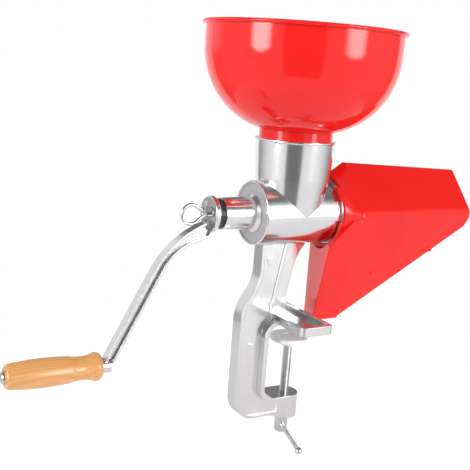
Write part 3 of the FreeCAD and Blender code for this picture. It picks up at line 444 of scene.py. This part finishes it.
@dataclass(frozen=True)
class VarnishedBeech(Finish):
    """Light beech under varnish: long growth lines, short flecks and a warm tint.

    Attributes:
        light: Early wood.
        dark: Late wood.
        fleck: The short dark flecks of beech.
        centre_z: Height of the grip's axis.
    """

    light: Colour = (0.69, 0.345, 0.115)
    dark: Colour = (0.55, 0.235, 0.066)
    fleck: Colour = (0.40, 0.17, 0.05)
    centre_z: float = -0.0258

    def sockets(self, sheet: Sheet) -> dict[str, Any]:
        """Growth lines run along the grip, bent by slow noise."""
        place = sheet.place()
        slow = sheet.noise(sheet.scaled(place, (9.0, 70.0, 70.0)), 1.0, 2.0)
        _, y, z = sheet.parts(place)
        depth = (y * 0.86 + (z - self.centre_z) * 0.52) * 2300.0 + slow * 16.0
        rings = depth.sine() * 0.5 + 0.5
        fibre = sheet.noise(sheet.scaled(place, (55.0, 2600.0, 2600.0)), 1.0, 3.0)
        fleck = sheet.noise(sheet.scaled(place, (330.0, 2100.0, 2100.0)), 1.0, 1.0).step(0.66, 0.74)
        colour = sheet.blend(rings * 0.45 + slow * 0.35, self.light, self.dark)
        colour = sheet.blend(fibre.step(0.5, 0.8) * 0.35, colour, self.dark)
        colour = sheet.blend(fleck * 0.55, colour, self.fleck)
        return {
            "Base Color": colour,
            "Roughness": 0.34 + 0.12 * fibre,
            "Coat Weight": 0.55 + 0.25 * slow,
            "Coat Roughness": 0.16,
            "Normal": sheet.bump(fibre * 0.7 - fleck * 0.6 + rings * 0.2, 0.00005),
        }


CAST = CastAluminium("cast_aluminium", "cast_aluminium")
RED_BOWL = RedPlastic("red_plastic", "red_plastic_bowl")
RED_HOOD = RedPlastic(
    "red_plastic",
    "red_plastic_hood",
    red=(0.79, 0.011, 0.008),
    deep=(0.70, 0.008, 0.006),
    edge=0.0012,
)
BLACK = MouldedPlastic("black_plastic", "black_plastic")
WHITE = MouldedPlastic(
    "white_plastic",
    "white_plastic",
    colour=(0.80, 0.79, 0.75),
    worn=(0.70, 0.66, 0.58),
    shine=0.28,
)
RUBBER = Rubber("rubber", "rubber")
SHEET_STEEL = Steel("strainer_steel", "strainer_steel", marks=(90.0, 1500.0, 1500.0))
TURNED_STEEL = Steel("turned_steel", "turned_steel", shine=0.10)
ZINC = Steel(
    "zinc_steel",
    "zinc_steel",
    colour=(0.72, 0.72, 0.71),
    dull=(0.52, 0.52, 0.51),
    shine=0.13,
    marks=(300.0, 300.0, 2400.0),
)
ZINC_PAD = Steel(
    "zinc_steel",
    "zinc_pad",
    colour=(0.95, 0.95, 0.95),
    dull=(0.88, 0.88, 0.88),
    shine=0.62,
    marks=(900.0, 900.0, 900.0),
)
BEECH = VarnishedBeech("beech", "varnished_beech")


def arc(centre: Sequence[float], radius: float, start: float, end: float, count: int) -> np.ndarray:
    """Points of a circle between two angles.

    Args:
        centre: The circle's centre in the profile's plane.
        radius: Its radius.
        start: First angle in degrees.
        end: Last angle in degrees.
        count: How many points.

    Returns:
        An array of count rows, centre plus radius times (cos, sin).
    """
    turn = np.radians(np.linspace(start, end, count))
    return np.stack((centre[0] + radius * np.cos(turn), centre[1] + radius * np.sin(turn)), axis=1)


def turned(profile: np.ndarray, centre: Vector, columns: int) -> np.ndarray:
    """A profile turned about an upright line.

    Each row of the profile is (radius, height). The point at angle t is centre plus radius
    times (cos t, sin t) across the line, plus the height along it.

    Args:
        profile: The rows of the surface.
        centre: A point on the line, where heights count from.
        columns: Points round the line.

    Returns:
        A grid of points, rows by columns by 3.
    """
    turn = np.linspace(0.0, 2.0 * math.pi, columns, endpoint=False)
    radius = profile[:, :1]
    height = np.broadcast_to(profile[:, 1:], (len(profile), columns))
    return np.stack((radius * np.cos(turn), radius * np.sin(turn), height), axis=2) + np.array(centre)


def surface(
    name: str,
    grid: np.ndarray,
    closed_rows: bool = False,
    caps: Sequence[int] = (),
) -> bpy.types.Object:
    """A mesh from a grid of points that closes on itself across its columns.

    Args:
        name: The piece's name.
        grid: Points, rows by columns by 3.
        closed_rows: Whether the last row joins the first.
        caps: Which rows are closed by a face, 0 for the first and -1 for the last.

    Returns:
        The new object, with its faces outwards and smooth up to sharp edges.
    """
    rows, columns = grid.shape[:2]
    index = np.arange(rows * columns).reshape(rows, columns)
    upper = np.roll(index, -1, axis=0) if closed_rows else index[1:]
    lower = index if closed_rows else index[:-1]
    quads = np.stack((lower, np.roll(lower, -1, axis=1), np.roll(upper, -1, axis=1), upper), axis=2)
    faces = quads.reshape(-1, 4)
    points = grid.reshape(-1, 3)
    middle = points.mean(axis=0)
    corner = points[faces] - middle
    spans = np.cross(corner[:, 2] - corner[:, 0], corner[:, 3] - corner[:, 1])
    inward = np.einsum("ij,ij->", corner.mean(axis=1), spans) < 0.0
    listed = (faces[:, ::-1] if inward else faces).tolist()
    for row in caps:
        ring = index[row].tolist()
        listed.append(ring if (row == 0) == inward else ring[::-1])
    mesh = bpy.data.meshes.new(name)
    mesh.from_pydata(points.tolist(), [], listed)
    mesh.polygons.foreach_set("use_smooth", np.ones(len(mesh.polygons), bool))
    mesh.set_sharp_from_angle(angle=SHARP_FROM)
    made = bpy.data.objects.new(name, mesh)
    bpy.context.scene.collection.objects.link(made)
    return made


def dress(made: bpy.types.Object, finish: Finish) -> None:
    """Gives an object one finish all over."""
    made.data.materials.clear()
    made.data.materials.append(finish.material())


def add(made: bpy.types.Object, body: Body, finish: Finish, *replaced: str) -> None:
    """Puts a new piece on its body.

    Args:
        made: The piece.
        body: The body that it moves with.
        finish: Its finish.
        replaced: The nodes that it stands for.
    """
    dress(made, finish)
    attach(made, body.value)
    if replaced:
        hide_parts(*replaced)
    LOG.info("built %s on %s", made.name, body.value)


@dataclass
class Assembly:
    """A sub-assembly: the nodes it dresses, and the pieces it builds.

    Attributes:
        finishes: The finish of each node that keeps its own mesh.
    """

    finishes: dict[str, Finish] = field(default_factory=dict)

    def build(self) -> None:
        """Makes the new pieces, where the sub-assembly has any."""

    def dress(self) -> None:
        """Gives each kept node its finish."""
        for node, finish in self.finishes.items():
            dress(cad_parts[node], finish)
            LOG.info("dressed %s with %s", node, finish.name)


@dataclass
class Casting(Assembly):
    """The casting with its bush."""

    finishes: dict[str, Finish] = field(default_factory=lambda: {"body_casting": CAST, "nose_bush": BLACK})


@dataclass
class Hopper(Assembly):
    """The bowl, in metres.

    Attributes:
        axis_x: Place of the bowl's axis.
        arc_r: Radius of the bowl's outer arc.
        arc_out: Distance of the arc's centre from the axis.
        arc_z: Height of the arc's centre.
        wall: Wall of bowl and spigot.
        rise: Height of the nearly straight wall above the arc.
        lean: How far that wall leans out.
        rim_out: How far the rolled rim stands out.
        rim_h: Height of the rim.
        collar_r: Radius of the neck that stands on the tube.
        spigot_r: Radius of the spigot in the tube.
        spigot_l: Its length.
        edge: Radius of small rounded edges.
        edge_rows: Points on a small rounded edge.
        arc_rows: Points on the bowl's arc.
        wall_rows: Points on the wall above the arc.
        rim_rows: Points on the rim.
        columns: Points round the axis.
    """

    axis_x: float = -0.0134
    arc_r: float = 0.0793
    arc_out: float = 0.0165
    arc_z: float = 0.2738
    wall: float = 0.0025
    rise: float = 0.0194
    lean: float = 0.0003
    rim_out: float = 0.0039
    rim_h: float = 0.0036
    collar_r: float = 0.0365
    spigot_r: float = 0.035
    spigot_l: float = 0.029
    edge: float = 0.0006
    edge_rows: int = 4
    arc_rows: int = 72
    wall_rows: int = 10
    rim_rows: int = 14
    columns: int = 288

    def profile(self) -> np.ndarray:
        """The bowl's wall as one closed outline of (radius, height), up the outside and down the inside."""
        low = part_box("hopper")[0].z
        lip = low + self.spigot_l
        inner_r = self.arc_r - self.wall
        bore = self.spigot_r - self.wall
        centre = (self.arc_out, self.arc_z)
        out_start = math.degrees(math.asin((self.collar_r - self.arc_out) / self.arc_r)) - 90.0
        in_start = math.degrees(math.asin((bore - self.arc_out) / inner_r)) - 90.0
        rim_z = self.arc_z + self.rise
        rim_r = self.arc_out + self.arc_r + self.lean
        top = rim_z + self.rim_h
        inside = rim_r - self.wall
        roll = (rim_r + self.rim_out / 2.0, rim_z + self.rim_h / 2.0)
        pieces = [
            arc((self.spigot_r - self.edge, low + self.edge), self.edge, -90.0, 0.0, self.edge_rows),
            [(self.spigot_r, lip), (self.collar_r, lip)],
            arc(centre, self.arc_r, out_start, 0.0, self.arc_rows),
            np.linspace((self.arc_out + self.arc_r, self.arc_z), (rim_r, rim_z), self.wall_rows)[1:],
            [(roll[0], rim_z)],
            arc(roll, self.rim_h / 2.0, -80.0, 90.0, self.rim_rows),
            arc((inside + self.edge, top - self.edge), self.edge, 90.0, 180.0, self.edge_rows),
            np.linspace((inside, top - self.edge), (self.arc_out + inner_r, self.arc_z), self.wall_rows)[1:],
            arc(centre, inner_r, 0.0, in_start, self.arc_rows)[1:],
            [(bore, low)],
        ]
        return np.concatenate([np.asarray(piece) for piece in pieces])

    def build(self) -> None:
        """Turns the bowl about its axis."""
        grid = turned(self.profile(), Vector((self.axis_x, 0.0, 0.0)), self.columns)
        add(surface("hopper_bowl", grid, closed_rows=True), Body.HOPPER, RED_BOWL, "hopper")


@dataclass
class Hood(Assembly):
    """The hood over the strainer, with the gasket behind it, in metres.

    Attributes:
        pips: Places of the moulding pips on the near wall, along X and Z.
        pip_r: Radius of a pip.
        pip_h: How far it stands out, and how deep its foot is sunk.
        pip_top: Angle of the dome's last row, in degrees.
        pip_rows: Rows of the dome.
        columns: Points round a pip.
    """

    finishes: dict[str, Finish] = field(default_factory=lambda: {"chute": RED_HOOD, "mouth_gasket": RUBBER})
    pips: tuple[tuple[float, float], ...] = ((0.0805, 0.0532), (0.0175, 0.0640), (0.1578, 0.0744))
    pip_r: float = 0.0029
    pip_h: float = 0.0014
    pip_top: float = 86.0
    pip_rows: int = 8
    columns: int = 32

    def wall(self, x: float, z: float) -> tuple[Vector, Vector]:
        """A point of the near wall at one X and Z, and the way out of the wall there."""
        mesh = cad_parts["chute"].data
        points = [vertex.co for vertex in mesh.vertices]
        tree = BVHTree.FromPolygons(points, [tuple(face.vertices) for face in mesh.polygons])
        place, out, _, _ = tree.ray_cast((x, -1.0, z), (0.0, 1.0, 0.0))
        return place, out

    def build(self) -> None:
        """Sets the pips on the near wall, each a dome.

        The row of the dome at angle t has the radius pip_r times cos t, and stands pip_h times sin t
        out of the wall. A first row sunk in the wall is its foot.
        """
        rise = arc((0.0, 0.0), 1.0, 0.0, self.pip_top, self.pip_rows) * (self.pip_r, self.pip_h)
        profile = np.concatenate(([(self.pip_r, -self.pip_h)], rise))
        dome = turned(profile, Vector(), self.columns)
        for number, (x, z) in enumerate(self.pips, 1):
            place, out = self.wall(x, z)
            turn = np.array(out.to_track_quat("Z", "Y").to_matrix())
            made = surface(f"hood_pip_{number}", dome @ turn.T + np.array(place), caps=(0, -1))
            add(made, Body.FRAME, RED_HOOD)


@dataclass
class Strainer(Assembly):
    """The perforated cone with its rings."""

    finishes: dict[str, Finish] = field(
        default_factory=lambda: {name: SHEET_STEEL for name in ("strainer_cone", "cone_ring", "tip_ring")}
    )


@dataclass
class Spiral(Assembly):
    """The spiral, its shaft and what sits on the shaft."""

    finishes: dict[str, Finish] = field(
        default_factory=lambda: {
            "auger": WHITE,
            "thrust_washer": WHITE,
            "shaft_seal": RUBBER,
            "drive_shaft": TURNED_STEEL,
            "thrust_spring": TURNED_STEEL,
            "auger_pin": TURNED_STEEL,
        }
    )


@dataclass
class Crank(Assembly):
    """The arm with its eye screw and the pin of the grip."""

    finishes: dict[str, Finish] = field(
        default_factory=lambda: {
            "crank_arm": CAST,
            "eye_screw": TURNED_STEEL,
            "hub_washer": TURNED_STEEL,
            "grip_pin": TURNED_STEEL,
            "grip_washer": TURNED_STEEL,
            "pin_head": TURNED_STEEL,
        }
    )


@dataclass
class Grip(Assembly):
    """The wooden grip."""

    finishes: dict[str, Finish] = field(default_factory=lambda: {"grip": BEECH})


@dataclass
class Clamp(Assembly):
    """The clamp's pad, screw and bar.

    Attributes:
        crest_r: Outer radius of the thread.
        pitch: Rise of the thread in one turn.
        depth: Depth of the thread.
        flank: Steepness of the thread's flanks.
        crest: Where the flat on the crest ends, on the same scale.
        head_r: Radius of the head.
        head_h: Height of the head.
        edge: Bevel of the head.
        row: Height of one row of the threaded surface.
        columns: Points round the axis.
    """

    finishes: dict[str, Finish] = field(
        default_factory=lambda: {
            "clamp_pad": ZINC_PAD,
            "pad_rivet": ZINC_PAD,
            "tommy_bar": ZINC,
            "bar_end_near": ZINC,
            "bar_end_far": ZINC,
        }
    )
    crest_r: float = 0.0050
    pitch: float = 0.0025
    depth: float = 0.0011
    flank: float = 3.2
    crest: float = 0.3
    head_r: float = 0.0068
    head_h: float = 0.0192
    edge: float = 0.0015
    row: float = 0.00022
    columns: int = 56

    def screw_grid(self) -> np.ndarray:
        """The screw as a grid: a threaded rod over a turned head.

        On the rod the radius is the crest less the depth times a wave of the height minus the turn's
        share of the pitch. The wave is a triangle with its top and foot cut flat, and it fades out at
        both ends.
        """
        low, high = (corner.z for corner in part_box("clamp_screw"))
        shoulder = low + self.head_h
        heights = np.linspace(shoulder, high, int((high - shoulder) / self.row))
        turn = np.linspace(0.0, 2.0 * math.pi, self.columns, endpoint=False)
        phase = (heights[:, None] / self.pitch - turn[None, :] / (2.0 * math.pi)) % 1.0
        wave = np.clip(np.abs(phase - 0.5) * self.flank - self.crest, 0.0, 1.0)
        fade = np.clip((high - heights) / self.pitch, 0.0, 1.0)
        fade = fade * np.clip((heights - shoulder) / self.pitch, 0.0, 1.0)
        radius = self.crest_r - self.depth * wave * fade[:, None]
        head = np.array(
            [
                (self.head_r - self.edge, low),
                (self.head_r, low + self.edge),
                (self.head_r, shoulder - self.edge / 2.0),
                (self.head_r - self.edge / 2.0, shoulder),
            ]
        )
        radius = np.concatenate((np.repeat(head[:, :1], self.columns, axis=1), radius))
        height = np.concatenate((head[:, 1], heights))
        height = np.repeat(height[:, None], self.columns, axis=1)
        return np.stack((radius * np.cos(turn), radius * np.sin(turn), height), axis=2)

    def build(self) -> None:
        """Puts the threaded screw in the place of the plain one."""
        add(surface("threaded_screw", self.screw_grid(), caps=(0, -1)), Body.SCREW, ZINC, "clamp_screw")


@dataclass
class Studio:
    """The floor, the light and the camera, in metres and degrees.

    Attributes:
        eye: The camera's place.
        azimuth: Bearing of the camera from the object, from straight in front.
        elevation: Its height angle.
        roll: Its turn about its own line of sight.
        lens: Focal length in millimetres.
        sensor: Width of the sensor in millimetres.
        floor_r: Radius of the floor.
        floor_inner: Radius of its innermost ring.
        floor_rings: Rings of faces on the floor.
        floor_columns: Points round the floor.
        floor_drop: How far the floor lies under the lowest point.
        floor_colour: The floor's own colour.
        floor_glow: What is added to the floor for the camera, so that it is white outside the shadow.
        floor_shine: What is added to the floor as it is seen in reflections.
        floor_bounce: What is added to the light that the floor throws on matt surfaces.
        fill: Light from all sides on matt surfaces.
        box_edge: Cosine of the angle from a soft box's middle at which its light ends.
        box_core: Cosine of the angle inside which it is full.
        boxes: Bearing, height angle and strength of each soft box, as it is seen in what shines.
        left_side: Bearings at which the lit left side starts, is full, starts to end and ends.
        right_side: The same for the right side.
        side_top: Heights of the direction at which both sides start to end and end.
        side_glow: Strength of the lit sides.
        room_glow: Strength of all the rest.
        backdrop_edge: Cosines at which the white backdrop starts and is full.
        backdrop_top: Heights of the direction at which it starts to end and ends.
        wing_aim: Bearing and height angle of the pale wing beside the backdrop.
        wing_edge: Cosines at which the wing starts and is full.
        wing_glow: Strength of the wing.
        ceiling_edge: Heights of the direction at which the ceiling starts and is full.
        ceiling_glow: Strength of the ceiling.
        ground_edge: Heights of the direction at which the ground is full and ends.
        ground_glow: Strength of the ground.
        lamps: Name, bearing, height angle, width and power of each lamp.
        lamp_target: What the lamps face.
        lamp_away: Their distance from it.
    """

    eye: tuple[float, float, float] = (-0.47178, -0.67230, 0.25150)
    azimuth: float = -30.575
    elevation: float = 11.461
    roll: float = 4.338
    lens: float = 62.35
    sensor: float = 36.0
    floor_r: float = 0.42
    floor_inner: float = 0.02
    floor_rings: int = 24
    floor_columns: int = 96
    floor_drop: float = 0.0005
    floor_colour: Colour = (0.45, 0.45, 0.45)
    floor_glow: float = 0.70
    floor_shine: float = 0.30
    floor_bounce: float = 1.00
    fill: float = 0.58
    box_edge: float = 0.9563
    box_core: float = 0.9877
    boxes: tuple[tuple[float, float, float], ...] = ((-83.0, 9.0, 11.0), (26.0, 9.0, 8.5))
    left_side: tuple[float, ...] = (-178.0, -104.0, -59.0, -54.0)
    right_side: tuple[float, ...] = (-12.0, -7.0, 42.0, 112.0)
    side_top: tuple[float, float] = (0.38, 0.66)
    side_glow: float = 0.68
    room_glow: float = 0.17
    backdrop_edge: tuple[float, float] = (0.62, 0.70)
    backdrop_top: tuple[float, float] = (0.15, 0.32)
    wing_aim: tuple[float, float] = (-152.0, 20.0)
    wing_edge: tuple[float, float] = (0.86, 0.95)
    wing_glow: float = 0.85
    ceiling_edge: tuple[float, float] = (0.62, 0.86)
    ceiling_glow: float = 0.25
    ground_edge: tuple[float, float] = (-0.61, -0.58)
    ground_glow: float = 0.85
    lamps: tuple[tuple[str, float, float, float, float], ...] = (
        ("lamp_left", -84.0, 22.0, 1.0, 17.0),
        ("lamp_right", 30.0, 22.0, 1.0, 16.0),
        ("lamp_above", 150.0, 75.0, 1.2, 2.0),
    )
    lamp_target: tuple[float, float, float] = (-0.03, 0.0, 0.10)
    lamp_away: float = 1.6

    def camera(self) -> None:
        """Sets up the camera from its place and its three angles."""
        roll = math.radians(self.roll)
        back = self.aim(self.azimuth, self.elevation)
        side = (-back).cross(Vector((0.0, 0.0, 1.0))).normalized()
        over = side.cross(-back)
        right = side * math.cos(roll) + over * math.sin(roll)
        up = over * math.cos(roll) - side * math.sin(roll)
        data = bpy.data.cameras.new("camera")
        data.lens = self.lens
        data.sensor_width = self.sensor
        made = bpy.data.objects.new("camera", data)
        pose = Matrix((right, up, back)).transposed().to_4x4()
        pose.translation = self.eye
        made.matrix_world = pose
        bpy.context.scene.collection.objects.link(made)
        bpy.context.scene.camera = made

    def floor(self) -> None:
        """A round pale floor under the lowest point, a grid of rings round the object."""
        low = Vector(CAD_BOX[0])
        centre = Vector(((CAD_BOX[0][0] + CAD_BOX[1][0]) / 2.0, 0.0, low.z - self.floor_drop))
        rings = np.linspace(self.floor_inner, self.floor_r, self.floor_rings)
        profile = np.stack((rings, np.zeros(self.floor_rings)), axis=1)
        made = surface("floor", turned(profile, centre, self.floor_columns), caps=(0,))
        material = bpy.data.materials.new("pale_floor")
        material.use_nodes = True
        sheet = Sheet(material.node_tree)
        direct, shine = self.rays(sheet)
        matt = sheet.node("ShaderNodeBsdfDiffuse", inputs={"Color": (*self.floor_colour, 1.0)})
        strength = direct * self.floor_glow + shine * self.floor_shine
        strength = strength + (1.0 - direct.larger(shine)) * self.floor_bounce
        glow = sheet.node("ShaderNodeEmission", inputs={"Color": LIGHT, "Strength": strength})
        both = sheet.node("ShaderNodeAddShader", inputs={0: matt, 1: glow})
        sheet.node("ShaderNodeOutputMaterial", inputs={"Surface": both})
        made.data.materials.append(material)

    @staticmethod
    def rays(sheet: Sheet) -> tuple[Value, Value]:
        """1 for what is seen straight or through something, and 1 for what is seen in a reflection."""
        camera = sheet.node("ShaderNodeLightPath", output="Is Camera Ray")
        through = sheet.node("ShaderNodeLightPath", output="Is Transmission Ray")
        return camera.larger(through), sheet.node("ShaderNodeLightPath", output="Is Glossy Ray")

    def world(self) -> None:
        """A white room to look at, with two lit sides and a dark front between them in what shines."""
        world = bpy.data.worlds.new("studio")
        world.use_nodes = True
        bpy.context.scene.world = world
        sheet = Sheet(world.node_tree)
        way = sheet.node("ShaderNodeTexCoord", output="Generated")
        direct, shine = self.rays(sheet)
        x, y, height = sheet.parts(way)
        bearing = x.math("ARCTAN2", y * -1.0) * math.degrees(1.0)
        left, right = (
            bearing.step(*side[:2]) * (1.0 - bearing.step(*side[2:]))
            for side in (self.left_side, self.right_side)
        )
        sides = (left + right) * (1.0 - height.step(*self.side_top))
        room = self.room_glow + sides * self.side_glow
        for turn, lift, power in self.boxes:
            room = room + self.towards(sheet, way, turn, lift).step(self.box_edge, self.box_core) * power
        backdrop = self.towards(sheet, way, self.azimuth + 180.0, 0.0).step(*self.backdrop_edge)
        backdrop = backdrop * (1.0 - height.step(*self.backdrop_top))
        wing = self.towards(sheet, way, *self.wing_aim).step(*self.wing_edge) * self.wing_glow
        ceiling = height.step(*self.ceiling_edge) * self.ceiling_glow
        ground = (1.0 - height.step(*self.ground_edge)) * self.ground_glow
        room = room.larger(backdrop).larger(wing).larger(ceiling).larger(ground)
        strength = self.fill * (1.0 - shine) + room * shine
        strength = strength * (1.0 - direct) + direct
        light = sheet.node("ShaderNodeBackground", inputs={"Color": LIGHT, "Strength": strength})
        sheet.node("ShaderNodeOutputWorld", inputs={"Surface": light})

    @staticmethod
    def aim(bearing: float, height: float) -> Vector:
        """The direction of a bearing, from straight in front, and a height angle, both in degrees."""
        turn, lift = math.radians(bearing), math.radians(height)
        return Vector((math.sin(turn) * math.cos(lift), -math.cos(turn) * math.cos(lift), math.sin(lift)))

    def towards(self, sheet: Sheet, way: Value, bearing: float, height: float) -> Value:
        """How far a direction points towards a bearing and height angle, as their cosine."""
        settings = {"operation": "DOT_PRODUCT"}
        inputs = {0: way, 1: self.aim(bearing, height)}
        return sheet.node("ShaderNodeVectorMath", settings, inputs, output="Value")

    def lamp(self, name: str, bearing: float, height: float, size: float, power: float) -> None:
        """A square soft lamp that faces the object from a bearing and height angle."""
        aim = self.aim(bearing, height)
        data = bpy.data.lights.new(name, "AREA")
        data.size = size
        data.energy = power
        made = bpy.data.objects.new(name, data)
        made.location = Vector(self.lamp_target) + aim * self.lamp_away
        made.rotation_euler = aim.to_track_quat("Z", "Y").to_euler()
        made.visible_glossy = False
        bpy.context.scene.collection.objects.link(made)

    def build(self) -> None:
        """Builds the studio."""
        bpy.context.scene.view_settings.view_transform = "Standard"
        self.camera()
        self.floor()
        self.world()
        for lamp in self.lamps:
            self.lamp(*lamp)
        LOG.info("built the studio")


def main() -> None:
    """Builds the studio, then each sub-assembly in order."""
    logging.basicConfig(level=logging.INFO, format="%(message)s")
    Studio().build()
    for assembly in (Casting(), Hopper(), Hood(), Strainer(), Spiral(), Crank(), Grip(), Clamp()):
        assembly.build()
        assembly.dress()


if __name__ == "__main__":
    main()
